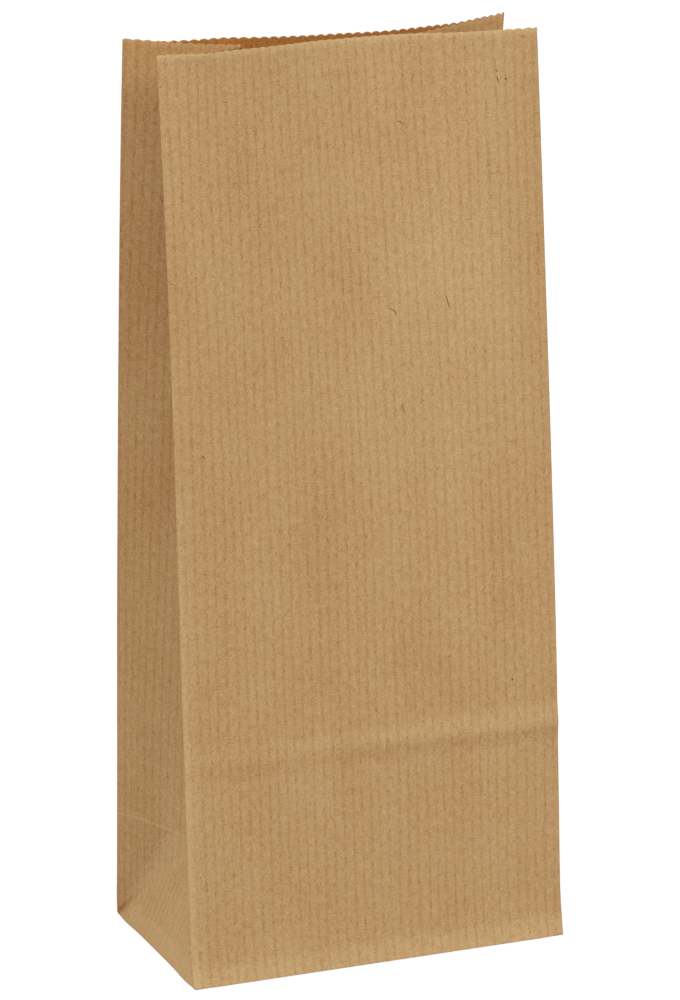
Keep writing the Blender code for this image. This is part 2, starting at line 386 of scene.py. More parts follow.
@dataclass(frozen=True)
class FoldedSheet:
    """The sheet as it stands: gives the place in space of each place on the flat sheet."""

    sizes: SheetSizes = SheetSizes()
    form: StandingForm = StandingForm()
    edge: CutEdge = CutEdge()
    marks: MarksAndPaintedLight = MarksAndPaintedLight()

    def press_height(self, across: Array, up: Array) -> Array:
        """How far the line pressed by the flattened bottom stands out, two slopes and a crest.

        It is strongest towards the right of a panel.
        """
        form = self.form
        crest = self.sizes.depth - form.press_drop
        rise = (up - crest + form.press_below) / form.press_below
        fall = (crest + form.press_above - up) / form.press_above
        strength = mixed(form.press_least, 1.0, form.press_grows.at(across))
        return form.press_ridge * strength * np.maximum(0.0, np.minimum(rise, fall))

    def front_lean(self, across: Array, up: Array) -> Array:
        """How far the front leans back without its bow, with the lip that flares at its foot.

        The lip dies away as e to the minus height over its reach.
        """
        form = self.form
        lip = form.lip * (1.0 - np.exp(-np.maximum(up, 0.0) / form.lip_reach))
        return self.lean_between(form.front_left_lean, form.front_right_lean, across, up) + lip

    def back_lean(self, across: Array, up: Array) -> Array:
        """How far the back leans forward without its bow."""
        form = self.form
        return self.lean_between(form.back_left_lean, form.back_right_lean, across, up)

    def lean_between(self, left: Row, right: Row, across: Array, up: Array) -> Array:
        """Lean of a panel, straight from its left fold to its right one.

        Each fold leans by a sum of the first, second, third and eighth powers of the height.

        Args:
            left: The four amounts for the left fold.
            right: The four amounts for the right fold.
            across: Place across the panel, from its middle.
            up: Height on the sheet.

        Returns:
            The lean.
        """
        share = np.maximum(up, 0.0) / self.sizes.height
        mix = across / self.sizes.width + 0.5
        powers = (share, share**2, share**3, share**8)
        return sum(mixed(a, b, mix) * power for a, b, power in zip(left, right, powers))

    def growth(self, up: Array) -> Array:
        """Share of a bow at this height: none up to the pressed line, all at the cut."""
        sizes = self.sizes
        share = np.maximum(0.0, (up - sizes.depth) / (sizes.height - sizes.depth))
        return share**self.form.bow_growth

    def front_bow(self, across: Array, up: Array) -> Array:
        """How far the front bows inward, most of it right of the middle.

        A hump that is wider on its left, and at the rim alone two small ripples.
        """
        left, right = self.form.front_bows
        hump = np.where(across < left.centre, left.at(across), right.at(across))
        ripple = sum(each.at(across) for each in self.form.front_ripples)
        pinned = 1.0 - np.abs(across / self.sizes.half_width) ** 12
        return (hump * self.growth(up) + ripple * self.growth(up) ** 4) * pinned

    def back_bow(self, across: Array, up: Array) -> Array:
        """How far the back bows inward: an arch of the third power, and at the rim two ripples."""
        place = np.abs(across / self.sizes.half_width)
        ripple = sum(each.at(across) for each in self.form.back_ripples) * (1.0 - place**12)
        arch = self.form.back_bow * (1.0 - place**3)
        return arch * self.growth(up) + ripple * self.growth(up) ** 4

    def raised(self, up: Array, lean: Array) -> Array:
        """Height of paper this long that leans over by this much, above the floor."""
        level = np.sqrt(np.maximum(up**2 - lean**2, 0.0))
        return self.sizes.floor_level + np.where(up > 0.0, level, 0.0)

    def front_point(self, across: Array, up: Array) -> Array:
        """Places on the front panel."""
        lean = self.front_lean(across, up) + self.front_bow(across, up)
        away = -self.sizes.half_depth + lean - self.press_height(across, up)
        return np.stack([across, away, self.raised(up, lean)], -1)

    def back_point(self, across: Array, up: Array) -> Array:
        """Places on the back panel, beyond the lap tucked in by one thickness of paper."""
        sizes = self.sizes
        lean = self.back_lean(across, up) + self.back_bow(across, up)
        edge = sizes.lap / 2.0
        beyond = np.clip((sizes.half_width - across) / (sizes.half_width - edge), 0.0, 1.0)
        tucked = sizes.paper * beyond * smooth_step(across, edge, edge + sizes.lap_step)
        away = sizes.half_depth - lean + self.press_height(across, up) - tucked
        return np.stack([across, away, self.raised(up, lean)], -1)

    def fold_point(self, wall: Wall, side: Side, up: Array) -> Array:
        """Places on one of the four upright folds."""
        across = np.full_like(up, side.value * self.sizes.half_width)
        if wall is Wall.FRONT:
            return self.front_point(across, up)
        return self.back_point(across, up)

    def crease_point(self, side: Side, up: Array) -> Array:
        """Places on a gusset's middle crease.

        Its rear half spans its share of the gap between the folds, and Pythagoras gives how far
        in the crease then lies.
        """
        sizes = self.sizes
        front = self.fold_point(Wall.FRONT, side, up)
        back = self.fold_point(Wall.BACK, side, up)
        share = np.maximum(0.0, (up - sizes.half_depth) / (sizes.height - sizes.half_depth))
        rear_gap = (back[..., 1] - front[..., 1]) * (0.5 + self.form.gusset_bias * share)
        inset = np.sqrt(np.maximum(sizes.half_depth**2 - rear_gap**2, 0.0))
        inset += self.form.crease_reach[side is Side.RIGHT] * share**2
        level = sizes.floor_level + np.sqrt(np.maximum(up**2 - inset**2, 0.0))
        across = side.value * (sizes.half_width - inset)
        return np.stack([across, back[..., 1] - rear_gap, level], -1)

    def triangle_point(self, side: Side, along: Array, up: Array) -> Array:
        """Places on the flat triangle at the foot of a gusset, which tips inward."""
        sizes = self.sizes
        foot = np.array([side.value * sizes.half_width, 0.0, sizes.floor_level])
        apex = self.crease_point(side, np.array(sizes.half_depth))
        share = (up / sizes.half_depth)[..., None]
        aside = np.zeros((*up.shape, 3))
        aside[..., 1] = along - sizes.half_depth
        return foot + (apex - foot) * share + aside

    def gusset_point(self, side: Side, along: Array, up: Array) -> Array:
        """Places on a side panel, `along` it from its front fold.

        Between a fold and a crease the paper runs straight, apart from a bulge of 4 s (1 - s) in
        the rear half and of 6.75 s squared (1 - s) in the front half.
        The creases run up at 45 degrees from the corners and meet on the middle crease.
        """
        sizes, form = self.sizes, self.form
        half = sizes.half_depth
        height = np.maximum(up, 1e-9)
        at_front = along <= half
        from_fold = np.clip(np.where(at_front, along, sizes.depth - along), 0.0, None)
        front = self.fold_point(Wall.FRONT, side, height)
        back = self.fold_point(Wall.BACK, side, height)
        fold = np.where(at_front[..., None], front, back)
        on_diagonal = np.where(at_front, height, sizes.depth - height)
        diagonal = self.triangle_point(side, on_diagonal, height)
        low = height < half
        inner = np.where(low[..., None], diagonal, self.crease_point(side, height))
        share = np.clip(from_fold / np.minimum(height, half), 0.0, 1.0)
        wall = fold + share[..., None] * (inner - fold)
        grown = np.clip((height - half) / (sizes.height - half), 0.0, None)
        front_bulge = form.front_bulge * 6.75 * share**2 * (1.0 - share)
        rear_bulge = form.rear_bulge * 4.0 * share * (1.0 - share)
        wall[..., 1] -= np.where(at_front, front_bulge, rear_bulge) * grown
        triangle = self.triangle_point(side, along, height)
        return np.where((from_fold >= height)[..., None], triangle, wall)

    def sharp_point(self, around: Array, up: Array) -> Array:
        """Places on the sheet with knife-sharp folds. Below the bottom edge it turns in flat."""
        sizes = self.sizes
        around = np.mod(around, sizes.girth)
        half = sizes.half_width
        panel = np.searchsorted(sizes.starts, around, side="right") - 1
        along = around - sizes.starts[panel]
        choices = (
            self.front_point(along - half, up),
            self.gusset_point(Side.RIGHT, along, up),
            self.back_point(half - along, up),
            self.gusset_point(Side.LEFT, sizes.depth - along, up),
        )
        place = np.choose(panel[..., None], choices)
        turned = np.maximum(-up, 0.0)[..., None]
        limit = np.array([half, sizes.half_depth, 1.0]) - turned * np.array([1.0, 1.0, 0.0])
        return np.clip(place, -limit, limit)

    def softness(self, around: Array, up: Array) -> Array:
        """How far the paper takes to turn at a fold here.

        Least on the upright folds near the cut, more at their lower ends and at the bottom's
        corners, and most on the gussets' inner creases.
        """
        sizes, form = self.sizes, self.form
        share = np.clip(up / sizes.height, 0.0, 1.0)
        turned = np.mod(around, sizes.half_girth)
        corner = np.minimum(turned, sizes.half_girth - turned)
        corner = np.minimum(corner, np.abs(turned - sizes.width))
        low = form.low_starts.at(up) * (1.0 - form.low_ends.at(up))
        at_fold = form.fold_side.at(corner) * (form.low_turn * low + form.foot_turn.at(up))
        crease = np.abs(turned - sizes.width - sizes.half_depth)
        at_crease = bell(crease, 0.0, form.crease_share * sizes.half_depth, 6.0)
        return form.fold_turn + at_fold + at_crease * mixed(*form.crease_turn, share**3)

    def drift(self, around: Array, up: Array) -> Array:
        """Slow undulations of the paper along Y: sums of sines, none at the foot and the folds."""
        sizes, form = self.sizes, self.form
        free = sum(
            bell(around, start + sizes.half_width, form.drift_share * sizes.width, 6.0)
            for start in (0.0, sizes.half_girth)
        )
        waves = sum(
            tall * np.sin(round_rate * around + up_rate * up + shift)
            for tall, round_rate, up_rate, shift in form.drift_waves
        )
        return form.drift_height * waves * free * form.drift_grows.at(up)

    def place(self, around: Array, up: Array) -> Array:
        """Places on the sheet as it really stands, with folds that turn over a short width.

        Each is the mean of 25 sharp places in a small square of the sheet round it, weighted
        1, 4, 6, 4, 1 each way, plus the slow undulations.

        Args:
            around: Places round the tube.
            up: Heights on the sheet, of the same shape.

        Returns:
            Points in space, with one more axis than the arguments.
        """
        reach = self.softness(around, up)
        weights = np.array([1.0, 4.0, 6.0, 4.0, 1.0]) / 16.0
        offsets = np.linspace(-1.0, 1.0, 5)
        total = np.zeros((*np.shape(around), 3))
        for weight_up, step_up in zip(weights, offsets):
            for weight, step in zip(weights, offsets):
                spot = self.sharp_point(around + step * reach, up + step_up * reach)
                total += weight * weight_up * spot
        total[..., 1] += self.drift(around, up)
        return total

    def cut_height(self, around: Array) -> Array:
        """Height of the serrated cut round the tube.

        Round scallops, the half wave of a sine, on a line that runs a little off square. Each is
        a little higher or lower, those of the front are torn lower, and fibres roughen them all.

        Args:
            around: Places round the tube.

        Returns:
            Heights on the sheet.
        """
        sizes, edge = self.sizes, self.edge
        phase = around / sizes.girth * sizes.teeth
        wave = np.abs(np.sin(np.pi * phase)) - edge.middle
        uneven = edge.uneven * np.sin(edge.shuffle * np.floor(phase))
        turn = 2.0 * np.pi * around / sizes.girth
        torn = sum(np.sin(count * turn + shift) for count, shift in edge.torn_waves)
        front = edge.front_starts.at(np.abs(around - sizes.half_width))
        tall = sizes.tooth_height * (1.0 - edge.front_loss * front)
        level = np.interp(around, *zip(*edge.line))
        return sizes.height + level + tall * (wave + uneven) + edge.torn * torn

    def wear_and_painted_light(self, around: Array, up: Array) -> Array:
        """How much paler, or darker where below 0, the paper is here: wear, and painted light and
        shade.

        Args:
            around: Places round the tube.
            up: Heights on the sheet.

        Returns:
            The sum of the pressed and folded marks, the painted sheen and shade, the seam and the
            rims.
        """
        return self.pressed(around, up) + self.folded(around, up) + self.sheen_shade_seam_and_rims(around, up)

    def pressed(self, around: Array, up: Array) -> Array:
        """Marks of the flattened bottom, with painted light and shade at its ridge.

        A pale band at the bottom's depth, worn and with a painted highlight along the ridge, a line
        of painted shade under it, a fine pale line at half that height and a pale foot.
        """
        sizes, marks = self.sizes, self.marks
        along = np.clip(around / sizes.width, 0.0, 1.0)
        side = self.at_gusset(around)
        width = mixed(*marks.band_width, along)
        # The band is worn paper with a painted highlight along the pressed ridge.
        band = bell(up, marks.band_level, width, 4.0) * mixed(*marks.band, along)
        # Painted shade on the ridge's lower slope.
        under = marks.under_band.at(up) * mixed(*marks.under_share, along)
        broken = marks.broken_line.at(up) * np.sin(marks.broken_waves * along) ** 2
        below = marks.below * marks.below_band.at(up)
        bottom = (band + under + broken + below) * mixed(1.0, marks.side_band, side)
        foot = mixed(*marks.foot, along**3) * marks.foot_ends.at(up)
        sag = mixed(*marks.half_sag, np.exp(-self.from_rear(around) / marks.sag_reach))
        right = marks.half_right * marks.right_end.at(along) * (1.0 - side)
        strength = marks.half_front + marks.half_side * side + right
        return bottom + foot + strength * marks.half_line.at(up - sizes.half_depth - sag * side)

    def folded(self, around: Array, up: Array) -> Array:
        """Marks of the folds, and painted light and shade at the gussets' feet.

        Pale fibres with a painted highlight along the front left fold, a triangle at the foot of
        each gusset painted paler where it faces up, brighter to its front, a painted pale fan above
        it that reaches up to the line at half the depth, and painted shade in each rear corner: a
        dark valley, which dies away as e to the minus height over 4 mm, and a small shadow.
        """
        sizes, marks = self.sizes, self.marks
        rear = self.from_rear(around)
        triangle = marks.triangle.at(np.minimum(rear, sizes.depth - rear) - up)
        # Painted light on the triangle, brighter to its front.
        painted_triangle_light = triangle * mixed(*marks.painted_triangle_light, marks.painted_light_grows.at(rear))
        above = marks.fan_line.at(up)
        under = marks.fan_under * marks.fan_edge.at(marks.fan_slope * rear - up) * (1.0 - above)
        over = marks.fan_over * above * marks.fan_fades.at(up) * marks.over_starts.at(rear)
        # Painted light on the pale fan above the triangle.
        fan = (1.0 - triangle) * (under + over) * (1.0 - marks.fan_loss * marks.fan_front.at(rear))
        corner = np.exp(-np.maximum(up, 0.0) / marks.corner_reach)
        # Painted shade in the rear corner's valley, and a painted shadow.
        valley_shade = marks.valley_shade.at(rear - up) * corner
        shadow = marks.shadow[0].at(rear) * marks.shadow[1].at(up)
        to_fold = np.minimum(np.abs(around), np.abs(sizes.girth - around))
        # Worn fibres and a painted highlight along the front left fold.
        fold = (marks.fold_line.at(to_fold) + marks.front_fold.at(around)) * marks.fold_fades.at(up)
        return self.at_gusset(around) * (painted_triangle_light + fan + valley_shade + shadow) + fold

    def sheen_shade_seam_and_rims(self, around: Array, up: Array) -> Array:
        """A painted sheen on the front, painted shade on the sides above, a dark seam line and pale
        rims.
        """
        sizes, marks = self.sizes, self.marks
        # A painted sheen on the front panel.
        patch = marks.patch[0].at(around) * marks.patch[1].at(up)
        # Painted shade on the gussets' upper part, paler again just under the cut.
        above = marks.side_shade_grows.at(up) - marks.side_shade_turn * marks.side_shade_ends.at(up)
        side_shade = marks.side_shade * self.at_gusset(around) * above
        seam = marks.seam * bell(around, sizes.lap_edge, marks.seam_reach)
        return patch + side_shade + seam + self.frayed(around, up)

    def frayed(self, around: Array, up: Array) -> Array:
        """How pale the outer face is at the cut, in a wide weak band and a narrow strong one."""
        marks = self.marks
        below = self.cut_height(around) - up
        on_panel = mixed(1.0, marks.frayed_gusset, self.at_gusset(around))
        wide = marks.frayed_wide.at(below) * on_panel
        return marks.frayed * (wide + marks.frayed_narrow.at(below))

    def from_rear(self, around: Array) -> Array:
        """Distance along a gusset from its rear fold, on either side."""
        side = self.sizes.half_girth
        return np.where(around < side, side - around, around - side - self.sizes.width)

    def at_gusset(self, around: Array) -> Array:
        """1 on the gussets, 0 on the wide panels, over one millimetre between them."""
        turned = np.mod(around, self.sizes.half_girth)
        return smooth_step(turned, self.sizes.width, self.sizes.width + MM)

    def glow(self, around: Array, up: Array) -> Array:
        """How much painted light, as if come through the paper, colours the inner face: less at the
        cut, least a gusset's.
        """
        marks = self.marks
        below = self.cut_height(around) - up
        gusset = self.at_gusset(around)
        clear = smooth_step(below, marks.painted_light_start, mixed(*marks.painted_light_end, gusset))
        return mixed(mixed(*marks.painted_light_at_cut, gusset), 1.0, clear)

    def outer_painted_light(self, around: Array, up: Array) -> Array:
        """Painted light for the outer face, where the gussets' upper ends pass on the mouth's
        light.
        """
        return self.at_gusset(around) * self.marks.painted_mouth_light.at(up)

    def inside_wear_and_shade(self, around: Array, up: Array) -> Array:
        """How much paler or darker the inner face is.

        The teeth are bare pale fibres. Off the back, the paper under them gets painted shade.
        """
        sizes, marks = self.sizes, self.marks
        middle = np.abs(around - sizes.half_girth - sizes.half_width)
        back = smooth_step(middle, sizes.half_width, sizes.half_width - MM)
        tip = marks.tip.at(self.cut_height(around) - up)
        # Off the back, other_shade is painted shade under the teeth.
        return mixed(marks.other_shade + marks.other_tip * tip, marks.back_tip * tip, back)


class NodeBench:
    """The node tree of a new material or world, with short ways to add and join nodes."""

    def __init__(self, owner: bpy.types.Material | bpy.types.World) -> None:
        """Start from the nodes that a new material or world has."""
        owner.use_nodes = True
        self.owner = owner
        self.tree = owner.node_tree
        self.shader = self.tree.nodes.get("Principled BSDF")

    def feed(self, socket: Socket, value: Feed) -> None:
        """Link a socket to another, or set it to a value."""
        if isinstance(value, Socket):
            self.tree.links.new(value, socket)
        else:
            socket.default_value = value

    def node(self, kind: str, feeds: dict[str | int, Feed], **settings: str | bool) -> Node:
        """Add a node.

        Args:
            kind: The node's type.
            feeds: What its inputs take, by name or place.
            settings: Its own settings.

        Returns:
            The node.
        """
        made = self.tree.nodes.new(kind)
        for name, value in settings.items():
            setattr(made, name, value)
        for name, value in feeds.items():
            self.feed(made.inputs[name], value)
        return made

    def number(self, operation: str, *terms: Feed, clamp: bool = False) -> Socket:
        """Arithmetic on numbers."""
        feeds = dict(enumerate(terms))
        made = self.node("ShaderNodeMath", feeds, operation=operation, use_clamp=clamp)
        return made.outputs[0]

    def vector(self, x: Feed, y: Feed) -> Socket:
        """Two numbers as a vector."""
        return self.node("ShaderNodeCombineXYZ", {0: x, 1: y}).outputs[0]

    def noise(self, vector: Feed, detail: float = 2.0, roughness: float = 0.5) -> Socket:
        """Smooth noise about 0.5, with a grain of one unit of the vector."""
        feeds = {"Vector": vector, "Scale": 1.0, "Detail": detail, "Roughness": roughness}
        made = self.node("ShaderNodeTexNoise", feeds, noise_dimensions="3D")
        return made.outputs["Fac"]

    def blend(self, share: Feed, first: Feed, second: Feed, way: str = "MIX") -> Socket:
        """A colour mixed from two."""
        feeds = {0: share, 6: first, 7: second}
        made = self.node("ShaderNodeMix", feeds, data_type="RGBA", blend_type=way)
        return made.outputs[2]

    def between(self, value: Feed, low: float, high: float) -> Socket:
        """0 at low and below, 1 at high and above, smooth between them."""
        feeds = {"Value": value, "From Min": low, "From Max": high}
        made = self.node("ShaderNodeMapRange", feeds, interpolation_type="SMOOTHSTEP")
        return made.outputs["Result"]

    def from_half(self, value: Feed) -> Socket:
        """How far a value is from a half."""
        return self.number("ABSOLUTE", self.number("SUBTRACT", value, 0.5))

    def dress(self, colour: Feed, roughness: float, specular: float) -> bpy.types.Material:
        """Give the shader its colour and gloss, and return the material."""
        feeds = {"Base Color": colour, "Roughness": roughness, "Specular IOR Level": specular}
        for name, value in feeds.items():
            self.feed(self.shader.inputs[name], value)
        return self.owner


@dataclass(frozen=True)
class Grain:
    """Noise on the sheet: its cells a millimetre round and up, its fineness, and its weight."""

    across: float
    along: float
    detail: float = 2.0
    roughness: float = 0.5
    weight: float = 1.0


class SheetBench(NodeBench):
    """A bench for patterns that follow the flat sheet, in millimetres."""

    def __init__(self, owner: bpy.types.Material) -> None:
        """Find the sheet's two numbers."""
        super().__init__(owner)
        place = self.node("ShaderNodeUVMap", {}, uv_map=SHEET_MAP).outputs[0]
        split = self.node("ShaderNodeSeparateXYZ", {0: place}).outputs
        self.around = self.number("MULTIPLY", split[0], 1.0 / MM)
        self.up = self.number("MULTIPLY", split[1], 1.0 / MM)

    def carried(self, name: str) -> Socket:
        """A number that the mesh carries at each point."""
        return self.node("ShaderNodeAttribute", {}, attribute_name=name).outputs["Fac"]

    def spread(self, grain: Grain) -> Socket:
        """The sheet's place as a vector, in the grain's cells."""
        return self.vector(
            self.number("MULTIPLY", self.around, grain.across),
            self.number("MULTIPLY", self.up, grain.along),
        )

    def grained(self, grain: Grain) -> Socket:
        """The grain's noise."""
        return self.noise(self.spread(grain), grain.detail, grain.roughness)


@dataclass(frozen=True)
class KraftFinish:
    """One face of ribbed kraft paper: its colours, and how strongly ribs and grain show.

    A single tone, 0 for plain paper, runs from the deep colour at -1 to the pale one at 1. Grain,
    fibres, clouds, ribs, and wear with painted light and shade each add to it, so what is darker
    is also redder, as in kraft.
    Its lengths are in millimetres, apart from the depth of the bump.
    """

    name: str
    base: Colour
    # The colour of painted light, by which the glow attribute scales the face.
    glow: Colour
    rib_tone: float = -0.48
    wear_and_light_tone: float = 0.34
    curl_tone: float = -0.42
    plain_tone: float = 0.10
    deep_share: Triple = (0.77, 0.60, 0.43)
    pale_share: Triple = (1.21, 1.37, 1.55)
    fine: Grain = Grain(3.1, 2.3, 3.0, 0.65, weight=3.6)
    fibre: Grain = Grain(1.05, 0.50, weight=1.3)
    cloud: Grain = Grain(0.07, 0.035, weight=0.8)
    rib_pitch: float = 2.25
    wander: Grain = Grain(0.11, 0.012, 1.0, weight=2.2)
    fray: Grain = Grain(0.9, 1.6, weight=0.5)
    rib_line: Pair = (0.02, 0.26)
    breaks: Grain = Grain(7.31, 0.55, 3.0, 0.6, weight=0.65)
    broken: Pair = (0.34, 0.66)
    winding: Grain = Grain(0.85, 0.70, 1.0)
    curl_line: Pair = (0.015, 0.075)
    curl_patch: Grain = Grain(1.30, 0.90, 1.0)
    curled: Pair = (0.50, 0.62)
    fleck: Colour = (0.13, 0.06, 0.02, 1.0)
    fleck_cells: Grain = Grain(0.36, 0.25, weight=0.45)
    fleck_share: Pair = (0.70, 1.0)
    fleck_radius: float = 0.075
    rib_relief: float = 0.25
    fibre_relief: float = 0.6
    bump_strength: float = 0.6
    bump_depth: float = 0.12 * MM
    roughness: float = 0.82
    specular: float = 0.25

    def shade(self, share: Triple) -> Colour:
        """The base colour with each of its parts scaled."""
        red, green, blue = (part * by for part, by in zip(self.base, share))
        return (red, green, blue, 1.0)

    def build(self) -> bpy.types.Material:
        """Make the material, drawn in the sheet's own two numbers."""
        bench = SheetBench(bpy.data.materials.new(self.name))
        phase, rib = self.ribs(bench)
        fine, fibre = bench.grained(self.fine), bench.grained(self.fibre)
        tone = bench.number("MULTIPLY_ADD", rib, self.rib_tone, self.plain_tone)
        tone = bench.number("MULTIPLY_ADD", self.curls(bench), self.curl_tone, tone)
        # Wear with painted light and shade lightens or darkens the tone.
        tone = bench.number("MULTIPLY_ADD", bench.carried(WEAR_AND_PAINTED_LIGHT), self.wear_and_light_tone, tone)
        grains = ((fine, self.fine), (fibre, self.fibre), (bench.grained(self.cloud), self.cloud))
        for part, grain in grains:
            centred = bench.number("SUBTRACT", part, 0.5)
            tone = bench.number("MULTIPLY_ADD", centred, grain.weight, tone)
        bench.feed(bench.shader.inputs["Normal"], self.relief(bench, phase, fine, fibre))
        colour = self.flecks(bench, self.coloured(bench, tone))
        return bench.dress(colour, self.roughness, self.specular)

    def coloured(self, bench: SheetBench, tone: Feed) -> Socket:
        """The colour of a tone: deep, base and pale at -1, 0 and 1, straight between them.

        Painted light, as if come through the paper, scales it by the glow's colour.
        """
        place = bench.number("MULTIPLY_ADD", tone, 0.5, 0.5, clamp=True)
        ramp = bench.node("ShaderNodeValToRGB", {0: place})
        stops = ramp.color_ramp.elements
        stops[0].color = self.shade(self.deep_share)
        stops[1].color = self.shade(self.pale_share)
        stops.new(0.5).color = self.base
        # Painted light: the glow attribute scales the colour by the glow's colour.
        return bench.blend(bench.carried(PAINTED_GLOW), ramp.outputs[0], self.glow, "MULTIPLY")

    def ribs(self, bench: SheetBench) -> tuple[Socket, Socket]:
        """Draw the thin broken line between each two ribs.

        Args:
            bench: The material's nodes.

        Returns:
            The place across the ribs, a whole number at each line, and how strongly it shows.
        """
        shifted = bench.around
        for grain in (self.wander, self.fray):
            shifted = bench.number("MULTIPLY_ADD", bench.grained(grain), grain.weight, shifted)
        phase = bench.number("DIVIDE", shifted, self.rib_pitch)
        away = bench.from_half(bench.number("FRACT", phase))
        line = bench.number("SUBTRACT", 1.0, bench.between(away, *self.rib_line))
        breaks = self.breaks
        number = bench.number("MULTIPLY", bench.number("FLOOR", phase), breaks.across)
        cells = bench.vector(number, bench.number("MULTIPLY", bench.up, breaks.along))
        noise = bench.noise(cells, breaks.detail, breaks.roughness)
        broken = bench.between(noise, *self.broken)
        shows = bench.number("MULTIPLY_ADD", broken, breaks.weight, 1.0 - breaks.weight)
        return phase, bench.number("MULTIPLY", line, shows)

    def curls(self, bench: SheetBench) -> Socket:
        """Thin curled fibres: where one noise is near its middle value and another is high."""
        away = bench.from_half(bench.grained(self.winding))
        thin = bench.number("SUBTRACT", 1.0, bench.between(away, *self.curl_line))
        patch = bench.between(bench.grained(self.curl_patch), *self.curled)
        return bench.number("MULTIPLY", thin, patch)

    def flecks(self, bench: SheetBench, colour: Feed) -> Socket:
        """Small darker fibres: a spot in one of every few cells of a Voronoi pattern."""
        spots = bench.spread(self.fleck_cells)
        cells = bench.node("ShaderNodeTexVoronoi", {"Vector": spots, "Scale": 1.0})
        chosen = bench.node("ShaderNodeSeparateColor", {0: cells.outputs["Color"]}).outputs[0]
        share = bench.between(chosen, *self.fleck_share)
        radius = bench.number("MULTIPLY", share, self.fleck_radius)
        near = bench.number("LESS_THAN", cells.outputs["Distance"], radius)
        amount = bench.number("MULTIPLY", near, self.fleck_cells.weight)
        return bench.blend(amount, colour, self.fleck)

    def relief(self, bench: SheetBench, phase: Feed, fine: Feed, fibre: Feed) -> Socket:
        """Bump of the ribs, a cosine across each, and of the grain."""
        rib = bench.number("COSINE", bench.number("MULTIPLY", phase, 2.0 * math.pi))
        height = bench.number("MULTIPLY_ADD", rib, self.rib_relief, fine)
        height = bench.number("MULTIPLY_ADD", fibre, self.fibre_relief, height)
        feeds = {"Strength": self.bump_strength, "Distance": self.bump_depth, "Height": height}
        return bench.node("ShaderNodeBump", feeds).outputs[0]


@dataclass(frozen=True)
class MottledFinish:
    """Bare fibres in one colour with darker spots: the cut through the paper, and stray bark."""

    name: str
    colour: Colour
    grain: float = 3500.0
    dark: float = 0.62
    spots: Pair = (0.35, 0.62)
    roughness: float = 0.9
    specular: float = 0.15

    def build(self) -> bpy.types.Material:
        """Make the material, mottled by noise on the object's own place."""
        bench = NodeBench(bpy.data.materials.new(self.name))
        place = bench.node("ShaderNodeTexCoord", {}).outputs["Object"]
        scaled = bench.node("ShaderNodeVectorMath", {0: place, 3: self.grain}, operation="SCALE")
        mottle = bench.between(bench.noise(scaled.outputs[0]), *self.spots)
        darker = tuple(part * self.dark for part in self.colour[:3]) + (1.0,)
        colour = bench.blend(mottle, darker, self.colour)
        return bench.dress(colour, self.roughness, self.specular)


@dataclass(frozen=True)
class PaperFinishes:
    """The three faces of the sheet, in the order of its material slots."""

    # The glow colours are painted light: on the inner face as light come through the paper, on the
    # outer face at the gussets' upper ends.
    outside: KraftFinish = KraftFinish("kraft_outside", KRAFT, (1.11, 1.02, 0.88, 1.0))
    inside: KraftFinish = KraftFinish("kraft_inside", KRAFT, (1.58, 1.13, 0.62, 1.0), rib_tone=-0.3)
    cut: MottledFinish = MottledFinish("cut_paper_edge", (0.58, 0.40, 0.22, 1.0))

    def build(self) -> list[bpy.types.Material]:
        """Make the three materials."""
        return [self.outside.build(), self.inside.build(), self.cut.build()]


